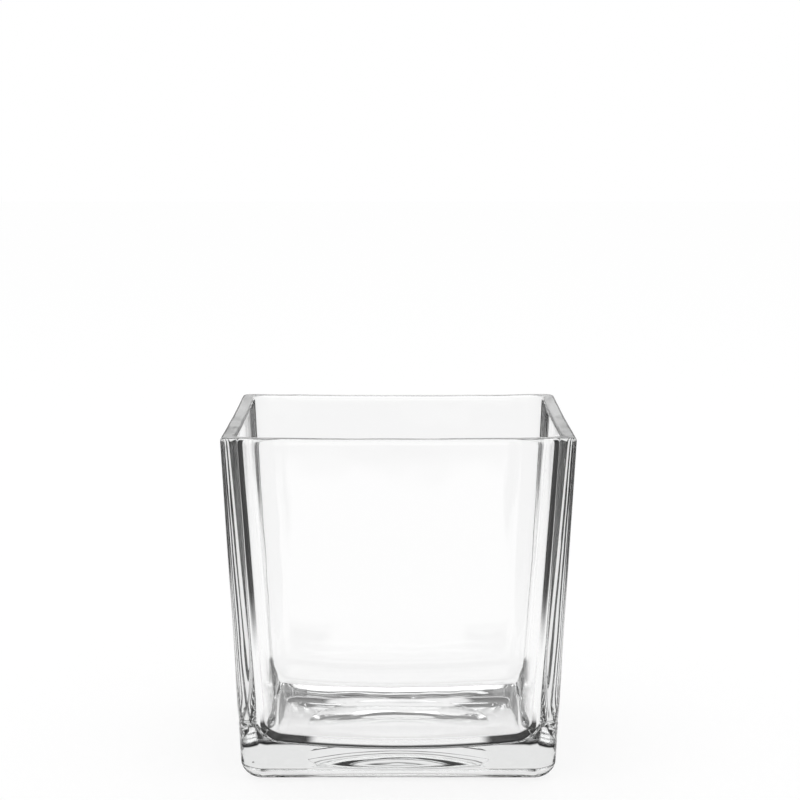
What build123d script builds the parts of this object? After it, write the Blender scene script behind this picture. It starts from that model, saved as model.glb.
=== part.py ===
"""Square display jar: one open-topped vessel of clear pressed glass, in millimetres.

The jar stands on the XY plane with its axis on Z. The mould shapes the outside, which
widens from the base to the rim and has small upright corners and a round heel. The plunger
shapes the inside, which has larger corners and a floor that is a very shallow bowl.
"""
from build123d import *
import os

# Outside, shaped by the mould
height = 100.0
rim_width = 100.0            # across the flats at the rim
base_width = 90.2            # across the flats at the underside, before the heel is rounded
rim_corner = 3.0             # radius in plan of the upright corners, at the rim
standing_corner = 0.9        # radius in plan of the corners of the flat underside
heel_radius = 5.5            # between the walls and the underside

# Inside, shaped by the plunger
rim_wall = 4.2               # wall thickness at the rim
floor_wall = 4.7             # wall thickness at the level of the floor
cavity_rim_corner = 5.0      # radius in plan of the cavity's corners, at the rim
plunger_overrun = 2.0        # how far the cavity's cutting shape runs past the rim

# Floor of the cavity
floor_thickness = 6.2        # glass under the middle of the floor
floor_bowl = 2.5             # how far the floor climbs from its middle to the wall
floor_fillet = 6.8           # between the floor and the walls
floor_corner = 0.8           # radius in plan of the floor's corners, inside its fillet

# Shallow dish in the underside, which leaves a flat border to stand on
dish_radius = 28.0
dish_depth = 1.7
dish_edge_round = 5.0

# Rim, rounded by the polishing flame
rim_outer_round = 1.0
rim_inner_round = 1.3


def cap_sphere_radius(cap_radius, cap_height):
    """Radius of the sphere whose cap has this radius and height."""
    return (cap_radius**2 + cap_height**2) / (2 * cap_height)


def outside_width(z):
    """Width of the outside across its flats at height z."""
    return base_width + (rim_width - base_width) * z / height


def cavity_size(z, floor_value, rim_value):
    """A size of the cavity at height z, where it changes evenly from the floor to the rim."""
    share = (z - floor_thickness) / (height - floor_thickness)
    return floor_value + (rim_value - floor_value) * share


floor_width = outside_width(floor_thickness) - 2 * floor_wall
mouth_width = rim_width - 2 * rim_wall
bowl_sphere = cap_sphere_radius(floor_width / 2, floor_bowl)
dish_sphere = cap_sphere_radius(dish_radius, dish_depth)

with BuildPart() as cavity:
    for level in (floor_thickness, height + plunger_overrun):
        width = cavity_size(level, floor_width, mouth_width)
        corner = cavity_size(level, floor_corner + floor_fillet, cavity_rim_corner)
        with BuildSketch(Plane.XY.offset(level)):
            RectangleRounded(width, width, corner)
    loft(ruled=True)
    # The plunger's nose is part of a large sphere, which leaves the floor bowled.
    with Locations((0, 0, floor_thickness + bowl_sphere)):
        Sphere(bowl_sphere, mode=Mode.INTERSECT)
    nose = cavity.faces().sort_by(Axis.Z)[0]
    fillet(nose.edges(), floor_fillet)

with BuildPart() as jar_body:
    with BuildSketch(Plane.XY):
        RectangleRounded(base_width, base_width, standing_corner + heel_radius)
    with BuildSketch(Plane.XY.offset(height)):
        RectangleRounded(rim_width, rim_width, rim_corner)
    loft(ruled=True)
    underside = jar_body.faces().sort_by(Axis.Z)[0]
    fillet(underside.edges(), heel_radius)

    with Locations((0, 0, dish_depth - dish_sphere)):
        Sphere(dish_sphere, mode=Mode.SUBTRACT)
    underside = jar_body.faces().sort_by(Axis.Z)[0]
    fillet(underside.inner_wires()[0].edges(), dish_edge_round)

    add(cavity.part, mode=Mode.SUBTRACT)
    rim = jar_body.faces().sort_by(Axis.Z)[-1]
    fillet(rim.outer_wire().edges(), rim_outer_round)
    rim = jar_body.faces().sort_by(Axis.Z)[-1]
    fillet(rim.inner_wires()[0].edges(), rim_inner_round)

jar_body.part.label = "jar_body"

os.makedirs("parts", exist_ok=True)
export_step(jar_body.part, "parts/jar_body.step")
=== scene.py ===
import math
from typing import NamedTuple

import bmesh
import bpy
from bpy.props import (
    FloatProperty,
    FloatVectorProperty,
    PointerProperty,
)
from bpy.types import Operator, Panel, PropertyGroup
from mathutils import Matrix, Vector, noise


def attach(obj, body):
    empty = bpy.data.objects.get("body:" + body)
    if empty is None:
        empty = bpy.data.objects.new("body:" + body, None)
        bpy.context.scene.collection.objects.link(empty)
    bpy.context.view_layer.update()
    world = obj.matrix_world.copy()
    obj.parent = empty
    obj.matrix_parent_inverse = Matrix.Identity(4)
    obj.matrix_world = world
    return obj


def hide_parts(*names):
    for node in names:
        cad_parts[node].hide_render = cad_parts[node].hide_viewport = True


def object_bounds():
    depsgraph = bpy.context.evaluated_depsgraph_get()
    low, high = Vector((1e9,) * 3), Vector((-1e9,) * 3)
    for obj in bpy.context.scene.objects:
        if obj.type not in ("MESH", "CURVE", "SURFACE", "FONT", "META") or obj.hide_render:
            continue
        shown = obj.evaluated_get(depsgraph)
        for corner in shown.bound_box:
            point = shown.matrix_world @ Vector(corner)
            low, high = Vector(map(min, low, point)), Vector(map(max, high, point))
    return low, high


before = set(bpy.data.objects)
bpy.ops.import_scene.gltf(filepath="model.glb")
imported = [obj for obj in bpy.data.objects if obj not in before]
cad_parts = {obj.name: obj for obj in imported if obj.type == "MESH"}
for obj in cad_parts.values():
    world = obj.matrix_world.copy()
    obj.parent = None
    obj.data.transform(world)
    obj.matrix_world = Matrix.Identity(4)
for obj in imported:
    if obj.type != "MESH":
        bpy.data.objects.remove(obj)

bl_info = {
    "name": "Pressed Glass Jar",
    "version": (1, 0, 0),
    "blender": (4, 5, 0),
    "location": "View3D > Sidebar > Glass Jar",
    "description": "A square jar of clear pressed glass on a white studio table",
    "category": "Add Mesh",
}

MM = 0.001
CAD_LOW, CAD_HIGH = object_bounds()

# Where light mirrored in the glass finds white or painted dark, which the eye and diffuse light don't
# see: metres on the table, degrees around the world.
# Painted dark on the table past these distances to the sides, and to the front and back.
PAINTED_DARK_ACROSS_START, PAINTED_DARK_ACROSS_END = 0.13, 0.20
PAINTED_DARK_ALONG_START, PAINTED_DARK_ALONG_END = 1.0, 1.5
# Painted shadow on the table under the jar, and painted shade around its corners that fades out further
# away; only mirrored light sees them.
PAINTED_SHADOW_UNDER_START, PAINTED_SHADOW_UNDER_END = 0.033, 0.037
PAINTED_CORNER_SHADE_START, PAINTED_CORNER_SHADE_END = 0.024, 0.028
PAINTED_CORNER_SHADE_FADE_START, PAINTED_CORNER_SHADE_FADE_END = 0.070, 0.090
# Painted reflection in the world: dark by height and at the sides, seen only by light mirrored in the
# glass.
PAINTED_SIDE_DARK_START, PAINTED_SIDE_DARK_END = 18, 24
PAINTED_REFLECTION_BANDS = (
    (0.0, 0.3), (4.0, 0.3), (8.0, 1.0), (20.0, 1.0), (24.0, 0.02), (50.0, 0.02), (54.0, 1.0), (90.0, 1.0),
)
# Brightness of the painted dark that only mirrored light sees, on the table and in the world.
PAINTED_DARK_LEVEL = 0.02
BACKGROUND_SHARE = 0.8

# Stage, lamp and camera, in metres, and in degrees and millimetres for the camera.
TABLE_HALF = 4
TABLE_GAP = 0.3 * MM
LAMP_SIZE = (0.8, 1.2)
LAMP_PLACE = (0, 0.1, 1.4)
LENS_LENGTH = 102.0
SENSOR_WIDTH = 36.0
LENS_SHIFT = 0.002
CAMERA_PLACE = (0, -0.6737, 0.1912)
CAMERA_TILT = 7.353
LIGHT_BOUNCES = 32


def from_hex(code):
    """Linear RGB of an sRGB hex colour."""
    shares = [int(code[i:i + 2], 16) / 255 for i in (0, 2, 4)]
    return tuple(
        s / 12.92 if s <= 0.04045 else ((s + 0.055) / 1.055) ** 2.4 for s in shares
    )


class JarSizes(PropertyGroup):
    """Shape of the glass, which follows the CAD part."""

    height: FloatProperty(
        name="Height", description="From the table to the rim",
        default=CAD_HIGH.z, unit="LENGTH",
    )
    rim_width: FloatProperty(
        name="Rim width", description="Across the flats at the rim",
        default=2 * CAD_HIGH.x, unit="LENGTH",
    )
    base_width: FloatProperty(
        name="Base width", description="Across the flats at the table, before the heel is rounded",
        default=90.2 * MM, unit="LENGTH",
    )
    rim_corner: FloatProperty(
        name="Rim corner", description="Radius of the outer corners at the rim",
        default=3.0 * MM, unit="LENGTH",
    )
    base_corner: FloatProperty(
        name="Base corner", description="Radius of the outer corners at the table",
        default=6.4 * MM, unit="LENGTH",
    )
    heel: FloatProperty(
        name="Heel", description="Radius between the walls and the underside",
        default=5.5 * MM, unit="LENGTH",
    )
    rim_wall: FloatProperty(
        name="Rim wall", description="Wall thickness at the rim",
        default=4.2 * MM, unit="LENGTH",
    )
    floor_wall: FloatProperty(
        name="Floor wall", description="Wall thickness at the cavity's floor",
        default=4.7 * MM, unit="LENGTH",
    )
    cavity_rim_corner: FloatProperty(
        name="Cavity rim corner", description="Radius of the cavity's corners at the rim",
        default=5.0 * MM, unit="LENGTH",
    )
    cavity_floor_corner: FloatProperty(
        name="Cavity floor corner", description="Radius of the cavity's corners at its floor",
        default=7.6 * MM, unit="LENGTH",
    )
    floor_thickness: FloatProperty(
        name="Floor thickness", description="Glass under the middle of the floor",
        default=6.2 * MM, unit="LENGTH",
    )
    floor_bowl: FloatProperty(
        name="Floor bowl", description="How far the floor climbs from its middle to the wall",
        default=2.5 * MM, unit="LENGTH",
    )
    floor_fillet: FloatProperty(
        name="Floor fillet", description="Radius between the floor and the walls",
        default=6.8 * MM, unit="LENGTH",
    )
    dish_radius: FloatProperty(
        name="Dish radius", description="Radius of the shallow dish in the underside",
        default=28.0 * MM, unit="LENGTH",
    )
    dish_depth: FloatProperty(
        name="Dish depth", description="Depth of the shallow dish in the underside",
        default=1.7 * MM, unit="LENGTH",
    )
    dish_edge_round: FloatProperty(
        name="Dish edge rounding", description="Radius where the dish meets the underside's flat",
        default=5.0 * MM, unit="LENGTH",
    )
    rim_outer_round: FloatProperty(
        name="Rim outer rounding", description="Radius at the rim's outer edge",
        default=1.0 * MM, unit="LENGTH",
    )
    rim_inner_round: FloatProperty(
        name="Rim inner rounding", description="Radius at the rim's inner edge",
        default=1.3 * MM, unit="LENGTH",
    )


class GlassFinish(PropertyGroup):
    """Marks that pressing and fire-polishing leave in the glass."""

    outer_wave: FloatProperty(
        name="Outer waves", description="Height of the waves on the outside",
        default=0.06 * MM, unit="LENGTH",
    )
    inner_wave: FloatProperty(
        name="Inner waves", description="Height of the waves on the inside",
        default=0.15 * MM, unit="LENGTH",
    )
    rim_sag: FloatProperty(
        name="Rim sag", description="How far the softened rim sags between its corners",
        default=0.35 * MM, unit="LENGTH",
    )
    seed_size: FloatProperty(
        name="Seed size", description="Diameter of the tiny bubbles left in the glass",
        default=0.5 * MM, unit="LENGTH",
    )
    skin_wave: FloatProperty(
        name="Skin waves", description="Height of the fine flow lines in the skin",
        default=0.02 * MM, unit="LENGTH",
    )
    absorption: FloatProperty(
        name="Absorption", description="How fast the glass greys with depth, per metre",
        default=4.0,
    )
    tint: FloatVectorProperty(
        name="Tint", description="Colour of a thick piece of the glass",
        subtype="COLOR", default=from_hex("bec0bf"),
    )


class StudioSettings(PropertyGroup):
    """Table, surroundings and light."""

    table_colour: FloatVectorProperty(
        name="Table colour", description="Colour of the table top",
        subtype="COLOR", default=from_hex("fafafa"),
    )
    lamp_power: FloatProperty(
        name="Lamp power", description="Power of the overhead lamp, in watts",
        default=2.0,
    )


# ---------------------------------------------------------------- glass body

# How finely each stretch of the glass is cut.
CORNER_STEPS = 16
SIDE_STEPS = 34
WALL_ROWS = 44
END_ROW = 0.012
HEEL_STEPS = 16
RIM_STEPS = 8
FOOT_STEPS = 18
SQUARE_ANGLE = math.pi / 2
FLOOR_RINGS = 26
UNDERSIDE_RINGS = 6
DISH_RINGS = 26

# Middles of the bubbles trapped in the base.
SEEDS = (
    (-20 * MM, -4 * MM, 5.5 * MM),
    (27 * MM, -13 * MM, 5.5 * MM),
    (-41 * MM, -40 * MM, 5 * MM),
)

# Size of the flow lines in the skin, across and up the walls.
FLOW_WIDTH = 14 * MM
FLOW_LENGTH = 45 * MM

# Length of the slow waves inside and outside, and the height of the zone that the flame softens.
INNER_WAVE_LENGTH = 16 * MM
OUTER_WAVE_LENGTH = 24 * MM
SOFT_ZONE = 20 * MM
RIPPLE_LENGTH = 9 * MM
RIPPLE_SHARE = 0.3


class Ring(NamedTuple):
    """A level rounded square: half its width, its corners' radius, and its height."""

    half: float
    corner: float
    level: float

    def carry(self, co, new):
        """Move a point of this ring to the same place on another ring."""
        core = self.half - self.corner
        new_core = new.half - new.corner
        flat = []
        for value in (co.x, co.y):
            middle = min(max(value, -core), core)
            flat.append(middle * new_core / core + (value - middle) * new.corner / self.corner)
        return Vector((*flat, new.level))


class Skin:
    """One side of the walls: a ring that changes evenly with height."""

    def __init__(self, low, high):
        self.low = low
        self.high = high
        self.lean = math.atan2(high.half - low.half, high.level - low.level)

    def ring(self, level):
        share = (level - self.low.level) / (self.high.level - self.low.level)
        half = self.low.half + (self.high.half - self.low.half) * share
        corner = self.low.corner + (self.high.corner - self.low.corner) * share
        return Ring(half, corner, level)

    def rounding(self, centre_level, radius, start, end, steps, side=1):
        """Rings along an arc that is tangent to this skin. Side -1 puts it behind the skin."""
        touch = centre_level - side * radius * math.sin(self.lean)
        centre_half = self.ring(touch).half - side * radius * math.cos(self.lean)
        rings = []
        for step in range(steps + 1):
            angle = start + (end - start) * step / steps
            flat = self.ring(centre_level + radius * math.sin(angle))
            half = centre_half + radius * math.cos(angle)
            rings.append(Ring(half, flat.corner + half - flat.half, flat.level))
        return rings

    def rows(self, start, end, count):
        """Rings up or down the skin, with one close to each end to keep it flat there."""
        shares = [END_ROW] + [step / count for step in range(1, count)] + [1 - END_ROW]
        return [self.ring(start + (end - start) * share) for share in shares]


class GlassShape:
    """The two skins of the jar and the roundings between them, from its sizes."""

    def __init__(self, sizes):
        s = self.sizes = sizes
        top = s.height
        floor = s.floor_thickness
        outer_low = Ring(s.base_width / 2, s.base_corner, 0)
        self.outer = Skin(outer_low, Ring(s.rim_width / 2, s.rim_corner, top))
        floor_half = self.outer.ring(floor).half - s.floor_wall
        mouth = Ring(s.rim_width / 2 - s.rim_wall, s.cavity_rim_corner, top)
        self.cavity = Skin(Ring(floor_half, s.cavity_floor_corner, floor), mouth)

        outer, cavity = self.outer, self.cavity
        heel = outer.rounding(s.heel, s.heel, -SQUARE_ANGLE, -outer.lean, HEEL_STEPS)
        rim_out = outer.rounding(
            top - s.rim_outer_round, s.rim_outer_round, -outer.lean, SQUARE_ANGLE, RIM_STEPS
        )
        rim_in = cavity.rounding(
            top - s.rim_inner_round, s.rim_inner_round, SQUARE_ANGLE, math.pi - cavity.lean,
            RIM_STEPS, side=-1,
        )
        foot = cavity.rounding(
            floor + s.floor_fillet, s.floor_fillet, -cavity.lean, -SQUARE_ANGLE, FOOT_STEPS
        )
        outside = outer.rows(heel[-1].level, rim_out[0].level, WALL_ROWS)
        inside = cavity.rows(rim_in[-1].level, foot[0].level, WALL_ROWS)
        lip = [self.between(rim_out[-1], rim_in[0], share) for share in (0.1, 0.5, 0.9)]
        self.rings = heel + outside + rim_out + lip + rim_in + inside + foot

    @staticmethod
    def between(a, b, share):
        return Ring(*(low + (high - low) * share for low, high in zip(a, b)))

    def is_inside(self, co):
        """True for a point of the cavity's skin."""
        middle = (self.outer.ring(co.z).half + self.cavity.ring(co.z).half) / 2
        return max(abs(co.x), abs(co.y)) < middle and co.z > self.sizes.floor_thickness * 0.8

    def dish_level(self, radius):
        """Height of the underside: a shallow spherical dish with a rounded edge."""
        s = self.sizes
        sphere = (s.dish_radius ** 2 + s.dish_depth ** 2) / (2 * s.dish_depth)
        round_end = self.dish_edge()
        round_start = round_end * sphere / (sphere + s.dish_edge_round)
        if radius >= round_end:
            return 0
        if radius > round_start:
            return s.dish_edge_round - math.sqrt(s.dish_edge_round ** 2 - (round_end - radius) ** 2)
        return math.sqrt(sphere ** 2 - radius ** 2) - sphere + s.dish_depth

    def dish_edge(self):
        """Radius where the dish's rounded edge meets the flat of the underside."""
        s = self.sizes
        sphere = (s.dish_radius ** 2 + s.dish_depth ** 2) / (2 * s.dish_depth)
        rise = s.dish_edge_round - s.dish_depth
        return math.sqrt((sphere + s.dish_edge_round) ** 2 - (sphere + rise) ** 2)

    def floor_lift(self, co):
        """How far the bowl of the floor lifts a point of the cavity's skin."""
        s = self.sizes
        above = (co.z - s.floor_thickness) / (4 * s.floor_fillet)
        if above >= 1:
            return 0
        lift = s.floor_bowl * (radius_of(co) / self.cavity.low.half) ** 2
        return lift * (1 - above) ** 2 * (1 + 2 * above)


def radius_of(co):
    return math.hypot(co.x, co.y)


def square_outline(bm, ring):
    """Add a level rounded square, without a face, and return its edges."""
    made = bmesh.ops.create_grid(bm, x_segments=1, y_segments=1, size=ring.half)
    bmesh.ops.bevel(
        bm, geom=made["verts"], offset=ring.corner, offset_type="OFFSET", segments=CORNER_STEPS,
        profile=0.5, affect="VERTICES", material=-1, clamp_overlap=False,
    )
    sides = sorted(bm.edges, key=lambda e: e.calc_length())[-4:]
    bmesh.ops.subdivide_edges(bm, edges=sides, cuts=SIDE_STEPS - 1)
    bmesh.ops.translate(bm, verts=bm.verts, vec=(0, 0, ring.level))
    bmesh.ops.delete(bm, geom=list(bm.faces), context="FACES_ONLY")
    return list(bm.edges)


def grow(bm, edges, place):
    """Extrude a loop of edges, place the new vertices, and return the new loop."""
    made = bmesh.ops.extrude_edge_only(bm, edges=edges)["geom"]
    verts = [v for v in made if isinstance(v, bmesh.types.BMVert)]
    for v in verts:
        v.co = place(v.co)
    fresh = set(verts)
    return [
        e for e in made
        if isinstance(e, bmesh.types.BMEdge) and e.verts[0] in fresh and e.verts[1] in fresh
    ]


def close_centre(bm, edges):
    """Cap a small loop with triangles that meet in its middle."""
    face = bmesh.ops.contextual_create(bm, geom=edges)["faces"][0]
    bmesh.ops.poke(bm, faces=[face])


def press_body(bm, shape):
    """Model the jar by growing one outline over the heel, walls, rim and cavity."""
    rings = shape.rings
    start = square_outline(bm, rings[0])
    loop = start
    for ring, new in zip(rings, rings[1:]):
        loop = grow(bm, loop, lambda co: ring.carry(co, new))
    for step in range(FLOOR_RINGS, 1, -1):
        ratio = (step - 1) / step
        loop = grow(bm, loop, lambda co: Vector((co.x * ratio, co.y * ratio, co.z)))
    close_centre(bm, loop)

    edge = shape.dish_edge()
    loop = start
    for step in range(UNDERSIDE_RINGS, 0, -1):
        loop = grow(bm, loop, lambda co: co.lerp(co * (edge / radius_of(co)), 1 / step))
    radii = [edge * (1 - 0.006 * step) for step in (1, 2, 3, 4, 6)]
    radii += [edge * step / DISH_RINGS for step in range(DISH_RINGS - 1, 0, -1)]
    for radius in radii:
        loop = grow(bm, loop, lambda co: underside_point(shape, co, radius))
    close_centre(bm, loop)
    settle_order(bm)


def settle_order(bm):
    """Put edges and faces in the order of their points, because extruding shuffles them."""
    bm.verts.index_update()
    count = len(bm.verts)

    def place(part):
        low, middle, high = (sorted(v.index for v in part.verts) + [0])[:3]
        return (low * count + middle) * count + high

    bm.edges.sort(key=place)
    bm.faces.sort(key=place)


def underside_point(shape, co, radius):
    ratio = radius / radius_of(co)
    return Vector((co.x * ratio, co.y * ratio, shape.dish_level(radius)))


def bowl_floor(bm, shape):
    """Lift the floor towards its walls, and slide the foot of the walls up with it."""
    for v in bm.verts:
        if shape.is_inside(v.co):
            raised = v.co.z + shape.floor_lift(v.co)
            grown = shape.cavity.ring(raised).half / shape.cavity.ring(v.co.z).half
            v.co = (v.co.x * grown, v.co.y * grown, raised)


def wave_walls(bm, shape, finish):
    """Give the skin the slow waves of glass that cooled against iron."""
    s = shape.sizes
    bm.normal_update()
    moves = []
    for v in bm.verts:
        p = v.co
        if shape.is_inside(p):
            length, height = INNER_WAVE_LENGTH, finish.inner_wave
            at = Vector((p.x, p.y, p.z * 0.5)) / length + Vector((7.3, 1.9, 4.4))
        else:
            length, height = OUTER_WAVE_LENGTH, finish.outer_wave
            height *= min(1, p.z / s.heel)
            at = Vector((p.x, p.y, p.z * 0.6)) / length
        wave = noise.fractal(at, 1.0, 2.0, 3)
        moves.append(-v.normal * height * (0.5 + 0.5 * wave))
    for v, move in zip(bm.verts, moves):
        v.co += move


def sag_rim(bm, shape, finish):
    """Let the flame-softened rim sink a little between its corners."""
    s = shape.sizes
    for v in bm.verts:
        near = max(0, 1 - (s.height - v.co.z) / SOFT_ZONE)
        along = min(abs(v.co.x), abs(v.co.y)) / shape.cavity.high.half
        sink = finish.rim_sag * max(0, 1 - along ** 2)
        ripple = RIPPLE_SHARE * finish.rim_sag * (1 + noise.noise(v.co / RIPPLE_LENGTH))
        v.co.z -= near ** 2 * (sink + ripple)


def trap_seeds(bm, finish):
    """Leave a few tiny bubbles of air in the glass, as closed shells that face their own air."""
    for place in SEEDS:
        made = bmesh.ops.create_icosphere(
            bm, subdivisions=2, radius=finish.seed_size / 2, matrix=Matrix.Translation(place)
        )
        faces = list({f for v in made["verts"] for f in v.link_faces})
        bmesh.ops.reverse_faces(bm, faces=faces)


def as_object(bm, name, material):
    """Turn a bmesh into a smooth object at the origin."""
    mesh = bpy.data.meshes.new(name)
    bm.to_mesh(mesh)
    bm.free()
    mesh.polygons.foreach_set("use_smooth", [True] * len(mesh.polygons))
    mesh.materials.append(material)
    piece = bpy.data.objects.new(name, mesh)
    bpy.context.scene.collection.objects.link(piece)
    return piece


# ---------------------------------------------------------------- materials

def add_node(tree, kind, settings=None, sockets=None):
    """Add a node, set its settings, and set or link its inputs. A node stands for its output."""
    node = tree.nodes.new(kind)
    for name, value in (settings or {}).items():
        setattr(node, name, value)
    for name, value in (sockets or {}).items():
        if isinstance(value, bpy.types.Node):
            value = value.outputs[0]
        if isinstance(value, bpy.types.NodeSocket):
            tree.links.new(value, node.inputs[name])
        else:
            node.inputs[name].default_value = value
    return node


def empty_tree(owner):
    owner.use_nodes = True
    owner.node_tree.nodes.clear()
    return owner.node_tree


def soda_lime_glass(finish):
    """Soda-lime glass, pressed hot in an iron mould and fire-polished."""
    # The flame leaves the skin clear and glossy, so the eye sees only what it bends and mirrors.
    # Faint flow lines run up the walls, and a thick piece turns a cool grey.
    material = bpy.data.materials.new("soda_lime_glass")
    tree = empty_tree(material)
    place = add_node(tree, "ShaderNodeTexCoord").outputs["Object"]
    flow = add_node(tree, "ShaderNodeMapping", sockets={
        "Vector": place, "Scale": (1 / FLOW_WIDTH, 1 / FLOW_WIDTH, 1 / FLOW_LENGTH),
    })
    lines = add_node(tree, "ShaderNodeTexNoise", sockets={
        "Vector": flow, "Scale": 1.0, "Detail": 2.0, "Roughness": 0.4,
    })
    skin = add_node(tree, "ShaderNodeBump", sockets={
        "Height": lines, "Strength": 1.0, "Distance": finish.skin_wave,
    })
    shader = add_node(tree, "ShaderNodeBsdfPrincipled", sockets={
        "Normal": skin,
        "Base Color": (1, 1, 1, 1),
        "Roughness": 0.0,
        "IOR": 1.5,
        "Transmission Weight": 1.0,
    })
    depth = add_node(tree, "ShaderNodeVolumeAbsorption", sockets={
        "Color": (*finish.tint, 1),
        "Density": finish.absorption,
    })
    add_node(tree, "ShaderNodeOutputMaterial", sockets={"Surface": shader, "Volume": depth})
    return material


# ---------------------------------------------------------------- studio

def mirrored_light(tree, path):
    """1 for light that is seen mirrored in the glass, and 0 for light seen straight."""
    mirrored = add_node(tree, "ShaderNodeMath", {"operation": "MINIMUM"}, {
        0: path.outputs["Glossy Depth"], 1: 1.0,
    })
    return add_node(tree, "ShaderNodeMath", {"operation": "SUBTRACT", "use_clamp": True}, {
        0: mirrored, 1: path.outputs["Diffuse Depth"],
    })


def studio_table(studio):
    """Cast white acrylic sheet with a dull face."""
    # The eye sees an even white with a faint shadow. Light mirrored in the glass sees painted shade
    # instead: a painted shadow under the jar and around its corners, and painted dark past set distances
    # to the sides and to the front and back.
    material = bpy.data.materials.new("white_acrylic_table")
    tree = empty_tree(material)
    place = add_node(tree, "ShaderNodeTexCoord").outputs["Object"]
    size = add_node(tree, "ShaderNodeVectorMath", {"operation": "ABSOLUTE"}, {0: place})
    across, along, _ = add_node(tree, "ShaderNodeSeparateXYZ", sockets={0: size}).outputs
    # Painted dark past a narrow strip of the table, though the table stays white to the eye.
    far = add_node(tree, "ShaderNodeMapRange", {"interpolation_type": "SMOOTHSTEP"}, {
        "Value": across, "From Min": PAINTED_DARK_ACROSS_START, "From Max": PAINTED_DARK_ACROSS_END,
    })
    end = add_node(tree, "ShaderNodeMapRange", {"interpolation_type": "SMOOTHSTEP"}, {
        "Value": along, "From Min": PAINTED_DARK_ALONG_START, "From Max": PAINTED_DARK_ALONG_END,
    })
    far = add_node(tree, "ShaderNodeMath", {"operation": "MAXIMUM"}, {0: far, 1: end})
    reach = add_node(tree, "ShaderNodeMath", {"operation": "MAXIMUM"}, {0: across, 1: along})
    # Painted shadow under the jar.
    under = add_node(tree, "ShaderNodeMapRange", {"interpolation_type": "SMOOTHSTEP"}, {
        "Value": reach, "From Min": PAINTED_SHADOW_UNDER_START, "From Max": PAINTED_SHADOW_UNDER_END, "To Min": 1.0, "To Max": 0.0,
    })
    # Painted shade on the table around the jar's corners.
    corner = add_node(tree, "ShaderNodeMath", {"operation": "MINIMUM"}, {0: across, 1: along})
    corner = add_node(tree, "ShaderNodeMapRange", {"interpolation_type": "SMOOTHSTEP"}, {
        "Value": corner, "From Min": PAINTED_CORNER_SHADE_START, "From Max": PAINTED_CORNER_SHADE_END,
    })
    # Where the painted corner shade fades out.
    foot = add_node(tree, "ShaderNodeMapRange", {"interpolation_type": "SMOOTHSTEP"}, {
        "Value": reach, "From Min": PAINTED_CORNER_SHADE_FADE_START, "From Max": PAINTED_CORNER_SHADE_FADE_END, "To Min": 1.0, "To Max": 0.0,
    })
    corner = add_node(tree, "ShaderNodeMath", {"operation": "MULTIPLY"}, {0: corner, 1: foot})
    under = add_node(tree, "ShaderNodeMath", {"operation": "MAXIMUM"}, {0: under, 1: corner})
    dark = add_node(tree, "ShaderNodeMath", {"operation": "MAXIMUM"}, {0: far, 1: under})
    # Only light mirrored in the glass sees the painted shadow, shade and dark.
    path = add_node(tree, "ShaderNodeLightPath")
    painted_dark_in_mirror = add_node(tree, "ShaderNodeMath", {"operation": "MULTIPLY"}, {
        0: dark, 1: mirrored_light(tree, path),
    })
    seen = add_node(tree, "ShaderNodeMath", {"operation": "MAXIMUM"}, {
        0: path.outputs["Is Camera Ray"], 1: path.outputs["Is Glossy Ray"],
    })
    seen = add_node(tree, "ShaderNodeMath", {"operation": "MAXIMUM"}, {
        0: seen, 1: path.outputs["Is Transmission Ray"],
    })
    share = add_node(tree, "ShaderNodeMath", {"operation": "MULTIPLY"}, {
        0: seen, 1: BACKGROUND_SHARE,
    })
    sheet = add_node(tree, "ShaderNodeBsdfDiffuse", sockets={"Color": (*studio.table_colour, 1)})
    white = add_node(tree, "ShaderNodeEmission", sockets={"Color": (1, 1, 1, 1), "Strength": 1.0})
    lit = add_node(tree, "ShaderNodeMixShader", sockets={"Fac": share, 1: sheet, 2: white})
    # Painted dark: a very dim emission shown in place of the table to mirrored light.
    painted_darkness = add_node(tree, "ShaderNodeEmission", sockets={
        "Color": (1, 1, 1, 1), "Strength": PAINTED_DARK_LEVEL,
    })
    surface = add_node(tree, "ShaderNodeMixShader", sockets={"Fac": painted_dark_in_mirror, 1: lit, 2: painted_darkness})
    add_node(tree, "ShaderNodeOutputMaterial", sockets={"Surface": surface})
    return material


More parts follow.
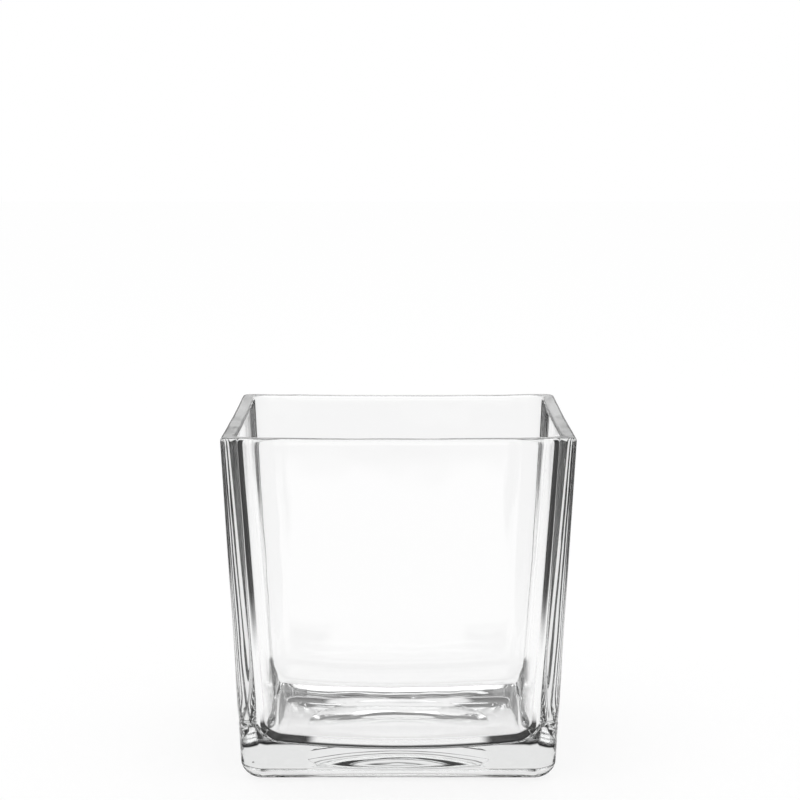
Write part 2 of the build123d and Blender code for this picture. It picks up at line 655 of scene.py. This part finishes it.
def build_world():
    """White behind and in front, with painted dark at the sides and in a band above that only mirrored
    light sees; the eye and diffuse light see white.
    """
    world = bpy.data.worlds.new("studio")
    bpy.context.scene.world = world
    tree = empty_tree(world)
    direction = add_node(tree, "ShaderNodeTexCoord").outputs["Generated"]
    x, y, z = add_node(tree, "ShaderNodeSeparateXYZ", sockets={0: direction}).outputs
    height = add_node(tree, "ShaderNodeMath", {"operation": "ARCSINE"}, {0: z})
    elevation = add_node(tree, "ShaderNodeMapRange", sockets={
        "Value": height, "From Min": 0.0, "From Max": SQUARE_ANGLE,
    })
    # Painted bands of dark by height, for mirrored light.
    painted_bands = add_node(tree, "ShaderNodeValToRGB", sockets={0: elevation})
    ramp = painted_bands.color_ramp
    for degrees, level in PAINTED_REFLECTION_BANDS:
        stop = ramp.elements.new(degrees / 90)
        stop.color = (level, level, level, 1)
    ramp.elements.remove(ramp.elements[0])
    ramp.elements.remove(ramp.elements[-1])
    # Painted dark at the sides, for mirrored light.
    sideways = add_node(tree, "ShaderNodeMath", {"operation": "ABSOLUTE"}, {0: x})
    forward = add_node(tree, "ShaderNodeMath", {"operation": "ABSOLUTE"}, {0: y})
    side = add_node(tree, "ShaderNodeMath", {"operation": "ARCTAN2"}, {0: sideways, 1: forward})
    side = add_node(tree, "ShaderNodeMath", {"operation": "SUBTRACT"}, {0: side, 1: height})
    side = add_node(tree, "ShaderNodeMapRange", {"interpolation_type": "SMOOTHSTEP"}, {
        "Value": side, "From Min": math.radians(PAINTED_SIDE_DARK_START), "From Max": math.radians(PAINTED_SIDE_DARK_END),
        "To Min": 1.0, "To Max": PAINTED_DARK_LEVEL,
    })
    painted_reflection = add_node(tree, "ShaderNodeMath", {"operation": "MULTIPLY"}, {0: painted_bands, 1: side})
    path = add_node(tree, "ShaderNodeLightPath")
    level = add_node(tree, "ShaderNodeMix", sockets={
        "Factor": mirrored_light(tree, path), "A": 1.0, "B": painted_reflection,
    })
    light = add_node(tree, "ShaderNodeBackground", sockets={
        "Color": (1, 1, 1, 1), "Strength": level,
    })
    add_node(tree, "ShaderNodeOutputWorld", sockets={"Surface": light})


class JAR_OT_press_glass(Operator):
    """Model the glass body of the jar"""

    bl_idname = "glass_jar.press_glass"
    bl_label = "Press the Glass"

    def execute(self, context):
        scene = context.scene
        shape = GlassShape(scene.jar_sizes)
        bm = bmesh.new()
        press_body(bm, shape)
        bowl_floor(bm, shape)
        bmesh.ops.recalc_face_normals(bm, faces=bm.faces)
        wave_walls(bm, shape, scene.glass_finish)
        sag_rim(bm, shape, scene.glass_finish)
        trap_seeds(bm, scene.glass_finish)
        if any(len(e.link_faces) != 2 for e in bm.edges):
            raise RuntimeError("The glass body isn't closed")
        glass = as_object(bm, "pressed_glass_body", soda_lime_glass(scene.glass_finish))
        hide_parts("jar_body")
        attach(glass, "root")
        return {"FINISHED"}


class JAR_OT_set_stage(Operator):
    """Lay the table, the surroundings, the lamp and the camera"""

    bl_idname = "glass_jar.set_stage"
    bl_label = "Set the Stage"

    def execute(self, context):
        scene = context.scene
        studio = scene.jar_studio
        bm = bmesh.new()
        bmesh.ops.create_grid(bm, x_segments=1, y_segments=1, size=TABLE_HALF)
        bmesh.ops.translate(bm, verts=bm.verts, vec=(0, 0, CAD_LOW.z - TABLE_GAP))
        table = as_object(bm, "table_top", studio_table(studio))
        build_world()

        lamp = bpy.data.lights.new("overhead_softbox", "AREA")
        lamp.shape = "RECTANGLE"
        lamp.size, lamp.size_y = LAMP_SIZE
        lamp.energy = studio.lamp_power
        lamp_object = bpy.data.objects.new("overhead_softbox", lamp)
        lamp_object.location = LAMP_PLACE
        scene.collection.objects.link(lamp_object)

        lens = bpy.data.cameras.new("camera")
        lens.lens = LENS_LENGTH
        lens.sensor_width = SENSOR_WIDTH
        lens.shift_x = LENS_SHIFT
        lens.clip_start = 0.01
        camera = bpy.data.objects.new("camera", lens)
        camera.location = CAMERA_PLACE
        camera.rotation_euler = (SQUARE_ANGLE - math.radians(CAMERA_TILT), 0, 0)
        scene.collection.objects.link(camera)
        scene.camera = camera
        scene.view_settings.view_transform = "Standard"
        scene.cycles.max_bounces = LIGHT_BOUNCES
        scene.cycles.transmission_bounces = LIGHT_BOUNCES
        scene.cycles.glossy_bounces = LIGHT_BOUNCES
        return {"FINISHED"}


class JAR_PT_sidebar(Panel):
    """Lists the steps that make the jar"""

    bl_idname = "JAR_PT_sidebar"
    bl_label = "Glass Jar"
    bl_space_type = "VIEW_3D"
    bl_region_type = "UI"
    bl_category = "Glass Jar"

    def draw(self, context):
        self.layout.operator(JAR_OT_press_glass.bl_idname)
        self.layout.operator(JAR_OT_set_stage.bl_idname)


CLASSES = (JarSizes, GlassFinish, StudioSettings, JAR_OT_press_glass, JAR_OT_set_stage,
           JAR_PT_sidebar)


def register():
    for cls in CLASSES:
        bpy.utils.register_class(cls)
    bpy.types.Scene.jar_sizes = PointerProperty(type=JarSizes)
    bpy.types.Scene.glass_finish = PointerProperty(type=GlassFinish)
    bpy.types.Scene.jar_studio = PointerProperty(type=StudioSettings)


def unregister():
    del bpy.types.Scene.jar_studio
    del bpy.types.Scene.glass_finish
    del bpy.types.Scene.jar_sizes
    for cls in reversed(CLASSES):
        bpy.utils.unregister_class(cls)


def main():
    register()
    bpy.ops.glass_jar.press_glass()
    bpy.ops.glass_jar.set_stage()


if __name__ == "__main__":
    main()
